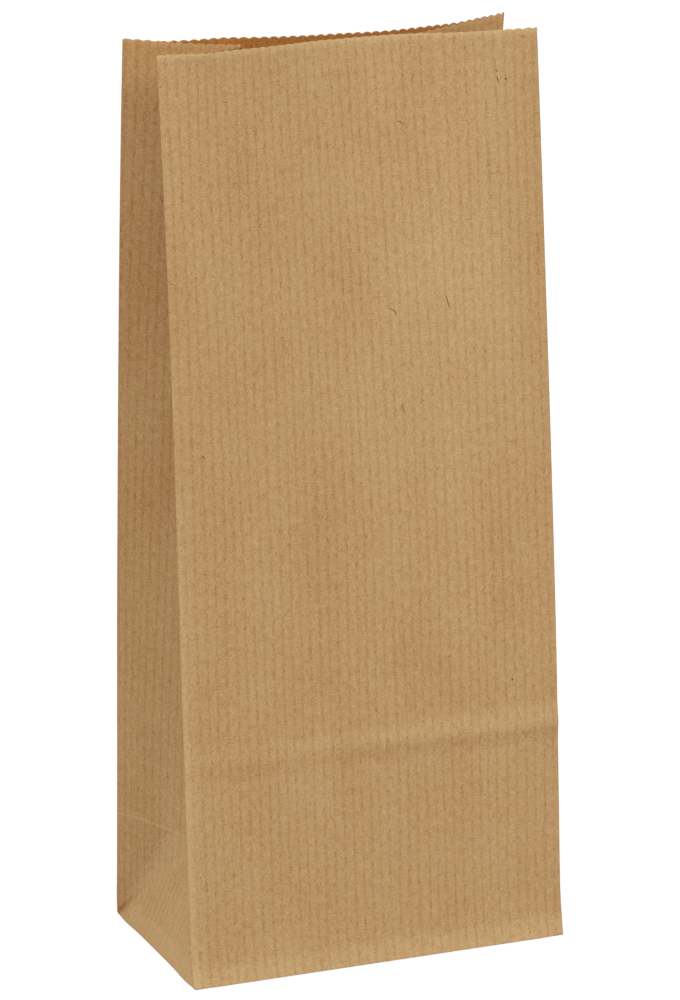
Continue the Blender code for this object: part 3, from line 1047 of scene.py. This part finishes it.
@dataclass
class OpenSheet:
    """Paper without thickness: points, faces, and each face corner's place on the flat sheet.

    The faces are kept as one run of corners, with the number of corners of each face. Wear with
    painted light and shade, and the glow of painted light, have two rows, for the outer and the
    inner face.
    """

    points: Array
    corners: Array
    lengths: Array
    places: Array
    thickness: Array
    wear_and_painted_light: Array
    glow: Array

    def mesh(self, name: str) -> bpy.types.Mesh:
        """Write points and faces into a new mesh."""
        made = bpy.data.meshes.new(name)
        made.vertices.add(len(self.points))
        made.vertices.foreach_set("co", self.points.astype(np.float32).ravel())
        made.loops.add(len(self.corners))
        made.loops.foreach_set("vertex_index", self.corners.astype(np.int32))
        made.polygons.add(len(self.lengths))
        starts = np.cumsum(self.lengths) - self.lengths
        made.polygons.foreach_set("loop_start", starts.astype(np.int32))
        made.update(calc_edges=True)
        return made

    def normals(self) -> Array:
        """The outward direction at each point."""
        probe = self.mesh("probe")
        found = np.zeros(len(self.points) * 3, np.float32)
        probe.vertices.foreach_get("normal", found)
        bpy.data.meshes.remove(probe)
        return found.reshape(-1, 3).astype(float)

    def rim(self) -> tuple[Array, Array]:
        """Find the free edges.

        An edge is free where no face runs along it the other way.

        Returns:
            For each free edge, the numbers of its first and of its second face corner.
        """
        starts = np.repeat(np.cumsum(self.lengths) - self.lengths, self.lengths)
        number = np.arange(len(self.corners))
        totals = np.repeat(self.lengths, self.lengths)
        following = starts + (number - starts + 1) % totals
        first, second = self.corners, self.corners[following]
        span = len(self.points)
        free = ~np.isin(first * span + second, second * span + first)
        return number[free], following[free]

    def closed(self) -> "OpenSheet":
        """The same paper with its thickness laid inward, an inner face and a rim round it."""
        count = len(self.points)
        inner = self.points - self.normals() * self.thickness[:, None]
        first, second = self.rim()
        a, b = self.corners[first], self.corners[second]
        edge = np.stack([b, a, a + count, b + count], -1).ravel()
        edge_places = self.places[np.stack([second, first, first, second], -1).ravel()]
        return replace(
            self,
            points=np.concatenate([self.points, inner]),
            corners=np.concatenate([self.corners, self.corners[::-1] + count, edge]),
            lengths=np.concatenate([self.lengths, self.lengths[::-1], np.full(len(a), 4)]),
            places=np.concatenate([self.places, self.places[::-1], edge_places]),
        )

    def to_object(self, name: str, materials: list[bpy.types.Material]) -> bpy.types.Object:
        """Close the sheet and put it into Blender as a smooth object at the origin.

        Args:
            name: The object's name.
            materials: Outside, inside and cut edge.

        Returns:
            The object, with the sheet's place as a UV map, and wear with painted light and shade
            and painted glow as attributes.
        """
        shell = self.closed()
        mesh = shell.mesh(name)
        layer = mesh.uv_layers.new(name=SHEET_MAP)
        layer.uv.foreach_set("vector", shell.places.astype(np.float32).ravel())
        for attribute, values in ((WEAR_AND_PAINTED_LIGHT, self.wear_and_painted_light), (PAINTED_GLOW, self.glow)):
            made = mesh.attributes.new(attribute, "FLOAT", "POINT")
            made.data.foreach_set("value", values.astype(np.float32).ravel())
        faces = len(self.lengths)
        kinds = np.repeat([0, 1, 2], [faces, faces, len(shell.lengths) - 2 * faces])
        mesh.polygons.foreach_set("material_index", kinds.astype(np.int32))
        mesh.shade_smooth()
        for material in materials:
            mesh.materials.append(material)
        return add_object(name, mesh)


@dataclass
class WrappedSheet:
    """The walls and floor of the bag: a grid over the sheet, and a finer band at the cut."""

    folded: FoldedSheet
    wide_cells: int = 64
    half_cells: int = 46
    wall_rows: int = 30
    band: float = 0.0022
    band_rows: int = 8
    tooth_points: int = 10
    wide_crowding: float = 0.86
    half_crowding: float = 0.6
    stretches: tuple[tuple[float, int], ...] = ((0.0280, 8), (0.0460, 7), (0.0575, 21))
    lap_columns: Row = (-0.10 * MM, -0.06 * MM, -0.02 * MM, 0.02 * MM, 0.06 * MM)
    band_crowding: float = 1.7
    turn_in: Row = (-0.0012, -0.0008, -0.0004)
    fold_paper: float = 0.03
    taper: float = 0.0030
    tapers: Step = Step(0.010, 0.060)

    def columns(self) -> Array:
        """Places of the columns round the tube, crowded at each fold and crease."""
        sizes = self.folded.sizes
        wide = crowded(sizes.width, self.wide_cells, self.wide_crowding)[:-1]
        half = crowded(sizes.half_depth, self.half_cells, self.half_crowding)[:-1]
        side = np.concatenate([half, sizes.half_depth + half])
        front, right, back, left = sizes.starts
        lap = sizes.lap_edge + np.array(self.lap_columns)
        behind = np.sort(np.concatenate([back + wide, lap]))
        return np.concatenate([front + wide, right + side, behind, left + side])

    def rows(self) -> Array:
        """Heights of the rows, crowded at the foot, at half the depth and at the pressed line."""
        sizes = self.folded.sizes
        parts = [np.array(self.turn_in)]
        parts.append(crowded(sizes.half_depth, self.half_cells, self.half_crowding))
        stretches = (*self.stretches, (sizes.height - self.band, self.wall_rows))
        for end, count in stretches:
            parts.append(np.linspace(parts[-1][-1], end, count + 1)[1:])
        return np.concatenate(parts)

    def fine_columns(self) -> Array:
        """Places of the band's columns: ten a tooth, and the folds themselves."""
        sizes = self.folded.sizes
        even = np.linspace(0.0, sizes.girth, sizes.teeth * self.tooth_points + 1)[:-1]
        _, right, back, left = sizes.starts
        folds = [right, right + sizes.half_depth, back, left, left + sizes.half_depth]
        return np.unique(np.round(np.concatenate([even, folds]), 7))

    def build(self, materials: list[bpy.types.Material]) -> bpy.types.Object:
        """Make the sheet's object.

        Args:
            materials: Outside, inside and cut edge.

        Returns:
            The finished piece.
        """
        columns, rows, fine = self.columns(), self.rows(), self.fine_columns()
        body_around, body_up = np.meshgrid(columns, rows)
        remaining = 1.0 - np.linspace(0.0, 1.0, self.band_rows + 1)[1:]
        shares = 1.0 - remaining**self.band_crowding
        low = self.folded.sizes.height - self.band
        fine_up = low + shares[:, None] * (self.folded.cut_height(fine) - low)[None, :]
        fine_around = np.broadcast_to(fine, fine_up.shape)
        around = np.concatenate([body_around.ravel(), fine_around.ravel()])
        up = np.concatenate([body_up.ravel(), fine_up.ravel()])
        points = self.folded.place(around, up)
        first_fine = body_around.size
        body_quads = self.grid_faces(len(rows), len(columns), 0)
        band_quads = self.grid_faces(self.band_rows, len(fine), first_fine)
        quads = np.concatenate([body_quads, band_quads])
        fan = self.fan_faces(columns, fine, first_fine - len(columns), first_fine)
        corners = np.concatenate([quads.ravel(), fan.ravel()])
        lengths = np.repeat([4, 3], [len(quads), len(fan)])
        places = self.corner_places(corners, lengths, around, up)
        points, floor, floor_lengths, floor_places = self.floor(points, columns)
        wear_and_painted_light = [self.folded.wear_and_painted_light(around, up), self.folded.inside_wear_and_shade(around, up)]
        # Painted light for the outer and the inner face.
        glow = [self.folded.outer_painted_light(around, up), self.folded.glow(around, up)]
        sheet = OpenSheet(
            points=points,
            corners=np.concatenate([corners, floor]),
            lengths=np.concatenate([lengths, floor_lengths]),
            places=np.concatenate([places, floor_places]),
            thickness=np.append(self.thickness(around, up), np.full(2, self.folded.sizes.paper)),
            wear_and_painted_light=np.hstack([wear_and_painted_light, np.zeros((2, 2))]),
            glow=np.hstack([glow, [[0.0, 0.0], [1.0, 1.0]]]),
        )
        return sheet.to_object("folded_sheet", materials)

    def thickness(self, around: Array, up: Array) -> Array:
        """Thickness of the paper, which is pressed thin along the four sharp upright folds."""
        sizes = self.folded.sizes
        folds = np.append(sizes.starts, sizes.girth)
        nearest = np.min(np.abs(around[:, None] - folds[None, :]), axis=1)
        grown = mixed(self.fold_paper, 1.0, smooth_step(nearest, 0.0, self.taper))
        return sizes.paper * mixed(1.0, grown, self.tapers.at(up))

    def grid_faces(self, rows: int, columns: int, first: int) -> Array:
        """Four-sided faces of a closed grid whose points start at this number."""
        index = first + np.arange(rows * columns).reshape(rows, columns)
        after = np.roll(index, -1, axis=1)
        quads = np.stack([index[:-1], after[:-1], after[1:], index[1:]], -1)
        return quads.reshape(-1, 4)

    def fan_faces(self, coarse: Array, fine: Array, first_coarse: int, first_fine: int) -> Array:
        """Triangles between a coarse ring and a fine one: each fine edge joins the nearest column.

        Args:
            coarse: Places of the lower ring's columns.
            fine: Places of the upper ring's columns.
            first_coarse: Number of the lower ring's first point.
            first_fine: Number of the upper ring's first point.

        Returns:
            The triangles, facing outward.
        """
        girth = self.folded.sizes.girth
        middles = (coarse + np.append(coarse[1:], coarse[0] + girth)) / 2.0
        nearest = np.searchsorted(middles, fine)
        here = np.arange(len(fine))
        following = first_fine + np.roll(here, -1)
        lower = first_coarse + nearest % len(coarse)
        rising = np.stack([lower, following, first_fine + here], -1)
        below = np.arange(len(coarse))
        last = np.searchsorted(nearest, below, side="right") % len(fine)
        beside = first_coarse + np.roll(below, -1)
        hanging = np.stack([first_coarse + below, beside, first_fine + last], -1)
        return np.concatenate([rising, hanging])

    def corner_places(self, corners: Array, lengths: Array, around: Array, up: Array) -> Array:
        """Each face corner's place on the sheet, carried past the last column where faces wrap.

        Args:
            corners: The run of face corners.
            lengths: How many corners each face has.
            around: Place of each point round the tube.
            up: Height of each point.

        Returns:
            Two numbers for each corner.
        """
        girth = self.folded.sizes.girth
        place = around[corners]
        highest = np.maximum.reduceat(place, np.cumsum(lengths) - lengths)
        wraps = (np.repeat(highest, lengths) - place) > girth / 2.0
        return np.stack([place + wraps * girth, up[corners]], -1)

    def floor(self, points: Array, columns: Array) -> tuple[Array, Array, Array, Array]:
        """Close the bottom with two side triangles and the middle between them.

        Args:
            points: The points so far, whose first ring is the floor's edge.
            columns: Places of the columns round the tube.

        Returns:
            The points with the triangles' inner tips, then the three faces' corners, their
            lengths and their places on the sheet.
        """
        sizes = self.folded.sizes
        reach = sizes.half_width - sizes.half_depth
        level = points[0, 2]
        left_tip, right_tip = len(points), len(points) + 1
        points = np.vstack([points, [[-reach, 0.0, level], [reach, 0.0, level]]])
        first, second, third, fourth = np.searchsorted(columns, sizes.starts - 1e-9)
        ring = np.append(np.arange(len(columns)), 0)
        front = ring[first : second + 1][::-1]
        right = ring[second : third + 1][::-1]
        back = ring[third : fourth + 1][::-1]
        left = ring[fourth:][::-1]
        faces = (
            np.append(left, left_tip),
            np.append(right, right_tip),
            np.concatenate([front, [left_tip], back, [right_tip]]),
        )
        places = (points[faces[0], 1::-1], points[faces[1], 1::-1], points[faces[2], :2])
        lengths = np.array([len(face) for face in faces])
        return points, np.concatenate(faces), lengths, np.concatenate(places)


@dataclass
class BottomFlap:
    """One of the two flaps glued under the floor: a trapezoid with 45 degree ends."""

    folded: FoldedSheet
    wall: Wall
    level: float
    name: str
    cells: tuple[int, int] = (120, 24)
    start: float = 0.0003
    sunk: float = 0.0014
    clearance: float = 0.01 * MM
    thinness: float = 0.92
    worn: float = 0.6
    wears: Step = Step(0.003, 0.001)

    def build(self, materials: list[bpy.types.Material]) -> bpy.types.Object:
        """Make the flap, from its fold to its serrated free edge.

        At a distance t from the fold its half width is half the panel's width less t, and it
        sinks from the floor to its own level over the first millimetre.

        Args:
            materials: Outside, inside and cut edge.

        Returns:
            The finished piece.
        """
        sizes = self.folded.sizes
        wide, deep = self.cells
        share, part = np.meshgrid(np.linspace(-1.0, 1.0, wide + 1), np.linspace(0.0, 1.0, deep + 1))
        straight = share * (sizes.half_width - self.start)
        scallop = self.folded.cut_height(straight + sizes.half_width) - sizes.height
        reach = self.start + part * (sizes.flap - self.start + scallop)
        across = share * (sizes.half_width - reach)
        top = sizes.floor_level + self.clearance
        level = mixed(top, self.level, smooth_step(reach, self.start, self.sunk))
        away = self.wall.value * (sizes.half_depth - reach)
        index = np.arange(across.size).reshape(deep + 1, wide + 1)
        quads = np.stack([index[:-1, :-1], index[1:, :-1], index[1:, 1:], index[:-1, 1:]], -1)
        if self.wall is Wall.BACK:
            quads = quads[..., ::-1]
        corners = quads.ravel()
        places = np.stack([across + sizes.half_width, -reach], -1).reshape(-1, 2)
        fold = self.worn * self.wears.at(reach).ravel()
        sheet = OpenSheet(
            points=np.stack([across, away, level], -1).reshape(-1, 3),
            corners=corners,
            lengths=np.full(len(corners) // 4, 4),
            places=places[corners],
            thickness=np.full(across.size, sizes.paper * self.thinness),
            wear_and_painted_light=np.stack([fold, np.zeros(across.size)]),
            glow=np.zeros((2, across.size)),
        )
        return sheet.to_object(self.name, materials)


@dataclass
class DarkFibres:
    """Stray bark fibres in the face of the paper: thin raised threads, and specks.

    Each is a row of its start, middle and end on the sheet, round and up, and its width, in
    millimetres. A speck is a short one.
    """

    folded: FoldedSheet
    finish: MottledFinish = MottledFinish("bark_fibre", (0.085, 0.044, 0.020, 1.0))
    steps: int = 10
    rise: float = 0.05 * MM
    nudge: float = 0.05 * MM
    threads: tuple[Row, ...] = (
        (81.35, 200.2, 81.40, 199.3, 81.85, 198.6, 0.18),
        (58.20, 191.5, 59.10, 191.5, 59.60, 190.4, 0.17),
        (14.90, 199.6, 15.40, 199.3, 15.85, 199.3, 0.13),
        (67.70, 151.9, 67.80, 150.3, 68.35, 148.6, 0.15),
        (53.60, 150.1, 55.20, 149.6, 55.50, 148.4, 0.15),
        (55.65, 128.4, 55.75, 127.0, 56.30, 126.3, 0.15),
        (6.50, 121.8, 7.50, 121.8, 7.10, 120.9, 0.15),
    )
    specks: tuple[Triple, ...] = (
        (81.26, 201.2, 0.36), (83.45, 199.3, 0.40), (67.57, 193.2, 0.27), (72.68, 193.2, 0.25),
        (42.74, 200.1, 0.27), (79.25, 178.4, 0.30), (81.81, 128.7, 0.25), (245.1, 174.2, 0.30),
        (24.66, 80.3, 0.29), (80.16, 62.2, 0.46), (54.60, 54.0, 0.27), (3.12, 25.6, 0.32),
        (83.08, 1.8, 0.30),
    )
    speck_half: Pair = (0.38, -0.15)
    hidden: int = 16
    hidden_stretch: tuple[Pair, ...] = ((95.0, 8.0), (232.0, 203.0))
    hidden_length: Pair = (0.15, 1.8)
    hidden_width: Pair = (0.13, 0.26)
    hidden_bend: float = 0.7
    section: Row = (0.3, 1.0, 0.3, -0.6)
    thinning: float = 0.97
    least_lift: float = 0.4

    def rows(self) -> Array:
        """All fibres as rows of seven numbers: those that show, and seeded ones farther round."""
        marks = np.array(self.specks)
        half = marks[:, 2:] * np.array(self.speck_half)
        spot = marks[:, :2]
        short = np.hstack([spot - half, spot, spot + half, marks[:, 2:]])
        dice = np.random.default_rng(7)
        start = dice.uniform(*self.hidden_stretch, (self.hidden, 2))
        turn = dice.uniform(0.0, 2.0 * np.pi, self.hidden)
        length = dice.uniform(*self.hidden_length, self.hidden)[:, None]
        bent = turn + self.hidden_bend
        middle = start + length * np.stack([np.cos(turn), np.sin(turn)], -1)
        end = middle + length * np.stack([np.cos(bent), np.sin(bent)], -1)
        width = dice.uniform(*self.hidden_width, (self.hidden, 1))
        return np.vstack([np.array(self.threads), short, np.hstack([start, middle, end, width])])

    def build(self) -> bpy.types.Object:
        """Make all fibres as one object of closed four-sided tubes.

        The middle line is the curve (1 - t) squared times the start, 2 t (1 - t) times the
        middle and t squared times the end. The tube tapers to both ends as the square root of
        1 - (2 t - 1) to the fourth, stands a little proud of the paper and sinks into it.
        """
        rows = self.rows() * MM
        a, b, c = rows[:, None, 0:2], rows[:, None, 2:4], rows[:, None, 4:6]
        t = np.linspace(0.0, 1.0, self.steps + 1)[None, :, None]
        line = (1.0 - t) ** 2 * a + 2.0 * t * (1.0 - t) * b + t**2 * c
        along = 2.0 * (1.0 - t) * (b - a) + 2.0 * t * (c - b)
        along /= np.linalg.norm(along, axis=-1, keepdims=True)
        aside = np.stack([-along[..., 1], along[..., 0]], -1)
        taper = np.sqrt(1.0 - np.abs(2.0 * t - 1.0) ** 4 * self.thinning)
        half = aside * taper * rows[:, None, 6:] / 2.0
        spots = np.stack([line + half, line, line - half, line], 2)
        lift = self.rise * np.array(self.section) * np.maximum(taper, self.least_lift)
        around, up = spots[..., 0], spots[..., 1]
        point = self.folded.place(around, up)
        across = self.folded.place(around + self.nudge, up) - point
        upward = self.folded.place(around, up + self.nudge) - point
        normal = np.cross(across, upward)
        normal /= np.linalg.norm(normal, axis=-1, keepdims=True)
        point = point + normal * np.broadcast_to(lift, around.shape)[..., None]
        index = np.arange(around.size).reshape(around.shape)
        beside = np.roll(index, -1, axis=2)
        walls = np.stack([index[:, :-1], beside[:, :-1], beside[:, 1:], index[:, 1:]], -1)
        ends = np.concatenate([index[:, 0, ::-1], index[:, -1]])
        mesh = bpy.data.meshes.new("dark_fibres")
        faces = np.concatenate([walls.reshape(-1, 4), ends]).tolist()
        mesh.from_pydata(point.reshape(-1, 3).tolist(), [], faces)
        mesh.shade_smooth()
        mesh.materials.append(self.finish.build())
        return add_object("dark_fibres", mesh)


@dataclass(frozen=True)
class Lamp:
    """A square soft light that faces the middle of the bag."""

    name: str
    place: Triple
    size: float
    energy: float
    colour: Triple
    aim: Triple = (0.0, 0.0, 0.1)

    def build(self) -> None:
        """Make the lamp and turn it to the bag."""
        data = bpy.data.lights.new(self.name, "AREA")
        data.size = self.size
        data.energy = self.energy
        data.color = self.colour
        made = add_object(self.name, data)
        made.location = self.place
        aim = np.array(self.aim) - np.array(self.place)
        yaw = math.atan2(aim[1], aim[0])
        pitch = math.atan2(-aim[2], math.hypot(aim[0], aim[1]))
        made.rotation_euler = (math.pi / 2.0 - pitch, 0.0, yaw - math.pi / 2.0)


@dataclass(frozen=True)
class Studio:
    """Plain soft light, a pale floor and the photograph's camera."""

    camera_place: Triple = (-0.392661, -0.968099, 0.405165)
    camera_yaw: float = 22.0905
    camera_pitch: float = 16.1270
    lens: float = 172.385
    world_colour: Colour = (0.28, 0.18, 0.17, 1.0)
    lamps: tuple[Lamp, ...] = (
        Lamp("key_light", (0.8, -1.8, 1.9), 1.2, 26.6, (0.86, 1.0, 1.01)),
        Lamp("top_light", (-0.5, -0.3, 2.0), 1.6, 36.4, (0.935, 1.0, 0.92)),
        Lamp("rear_light", (0.5, 2.0, 1.5), 1.4, 16.0, (1.0, 0.98, 0.95)),
    )
    floor_size: float = 30.0
    floor_depth: float = 0.00005
    floor_colour: Colour = (0.80, 0.80, 0.80, 1.0)
    floor_roughness: float = 0.9
    floor_glow: float = 1.08
    floor_share: float = 0.86

    def build(self) -> None:
        """Make the camera, lights, world and floor."""
        self.camera()
        self.world()
        for lamp in self.lamps:
            lamp.build()
        self.floor()
        bpy.context.scene.view_settings.view_transform = "Standard"

    def camera(self) -> None:
        """The camera, placed as the photograph's corners and folds put it."""
        data = bpy.data.cameras.new("camera")
        data.lens = self.lens
        data.sensor_width = 36.0
        data.clip_start = 0.02
        data.clip_end = 100.0
        made = add_object("camera", data)
        made.location = self.camera_place
        degrees = (90.0 - self.camera_pitch, 0.0, -self.camera_yaw)
        made.rotation_euler = [math.radians(angle) for angle in degrees]
        bpy.context.scene.camera = made

    def seen(self, bench: NodeBench) -> Socket:
        """1 for rays that show the background: from the camera, mirrored or passed through."""
        path = bench.node("ShaderNodeLightPath", {})
        total = path.outputs["Is Camera Ray"]
        for name in ("Is Glossy Ray", "Is Transmission Ray"):
            total = bench.number("MAXIMUM", total, path.outputs[name])
        return total

    def world(self) -> None:
        """A world that lights softly and shows as white."""
        bench = NodeBench(bpy.data.worlds.new("studio"))
        shown = bench.tree.nodes["Background"]
        bench.feed(shown.inputs["Color"], self.world_colour)
        white = bench.node("ShaderNodeBackground", {})
        feeds = {0: self.seen(bench), 1: shown.outputs[0], 2: white.outputs[0]}
        mix = bench.node("ShaderNodeMixShader", feeds)
        bench.feed(bench.tree.nodes["World Output"].inputs["Surface"], mix.outputs[0])
        bpy.context.scene.world = bench.owner

    def floor(self) -> None:
        """A wide pale floor that shows as white and keeps a faint shadow of the bag.

        It lies a hair below the bag, so that no face of the paper coincides with it.
        """
        half, level = self.floor_size / 2.0, -self.floor_depth
        signs = ((-1, -1), (1, -1), (1, 1), (-1, 1))
        corners = [(x * half, y * half, level) for x, y in signs]
        mesh = bpy.data.meshes.new("floor")
        mesh.from_pydata(corners, [], [(0, 1, 2, 3)])
        bench = NodeBench(bpy.data.materials.new("pale_floor"))
        mesh.materials.append(bench.dress(self.floor_colour, self.floor_roughness, 0.0))
        feeds = {"Color": (1.0, 1.0, 1.0, 1.0), "Strength": self.floor_glow}
        glow = bench.node("ShaderNodeEmission", feeds)
        share = bench.number("MULTIPLY", self.seen(bench), self.floor_share)
        feeds = {0: share, 1: bench.shader.outputs[0], 2: glow.outputs[0]}
        mix = bench.node("ShaderNodeMixShader", feeds)
        bench.feed(bench.tree.nodes["Material Output"].inputs["Surface"], mix.outputs[0])
        made = add_object("floor", mesh)


def clear_startup_scene() -> None:
    """Remove what Blender's startup scene holds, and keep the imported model."""
    kept = {*frame["nodes"].values(), *frame["bodies"].values()}
    for thing in list(bpy.data.objects):
        if thing not in kept:
            bpy.data.objects.remove(thing)


def settle(piece: bpy.types.Object, in_place: bool = True) -> None:
    """Let a piece ride on the bag's only body, hiding the solid paper part it stands for, and log
    it.

    Args:
        piece: The finished piece.
        in_place: Whether it stands for the solid, or is added to it.
    """
    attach(piece, BODY)
    if in_place:
        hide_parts(CAD_NODE)
    triangles = sum(len(face.vertices) - 2 for face in piece.data.polygons)
    LOG.info("%s: %d triangles", piece.name, triangles)


def main() -> None:
    """Build the bag in the order in which it is made: the sheet, then its flaps, then the room."""
    logging.basicConfig(level=logging.INFO, format="%(name)s: %(message)s")
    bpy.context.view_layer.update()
    clear_startup_scene()
    folded = FoldedSheet()
    materials = PaperFinishes().build()
    settle(WrappedSheet(folded).build(materials))
    inner = BottomFlap(folded, Wall.FRONT, folded.sizes.paper, "inner_bottom_flap")
    outer = BottomFlap(folded, Wall.BACK, 0.0, "outer_bottom_flap")
    for flap in (inner, outer):
        settle(flap.build(materials))
    settle(DarkFibres(folded).build(), in_place=False)
    Studio().build()


if __name__ == "__main__":
    main()
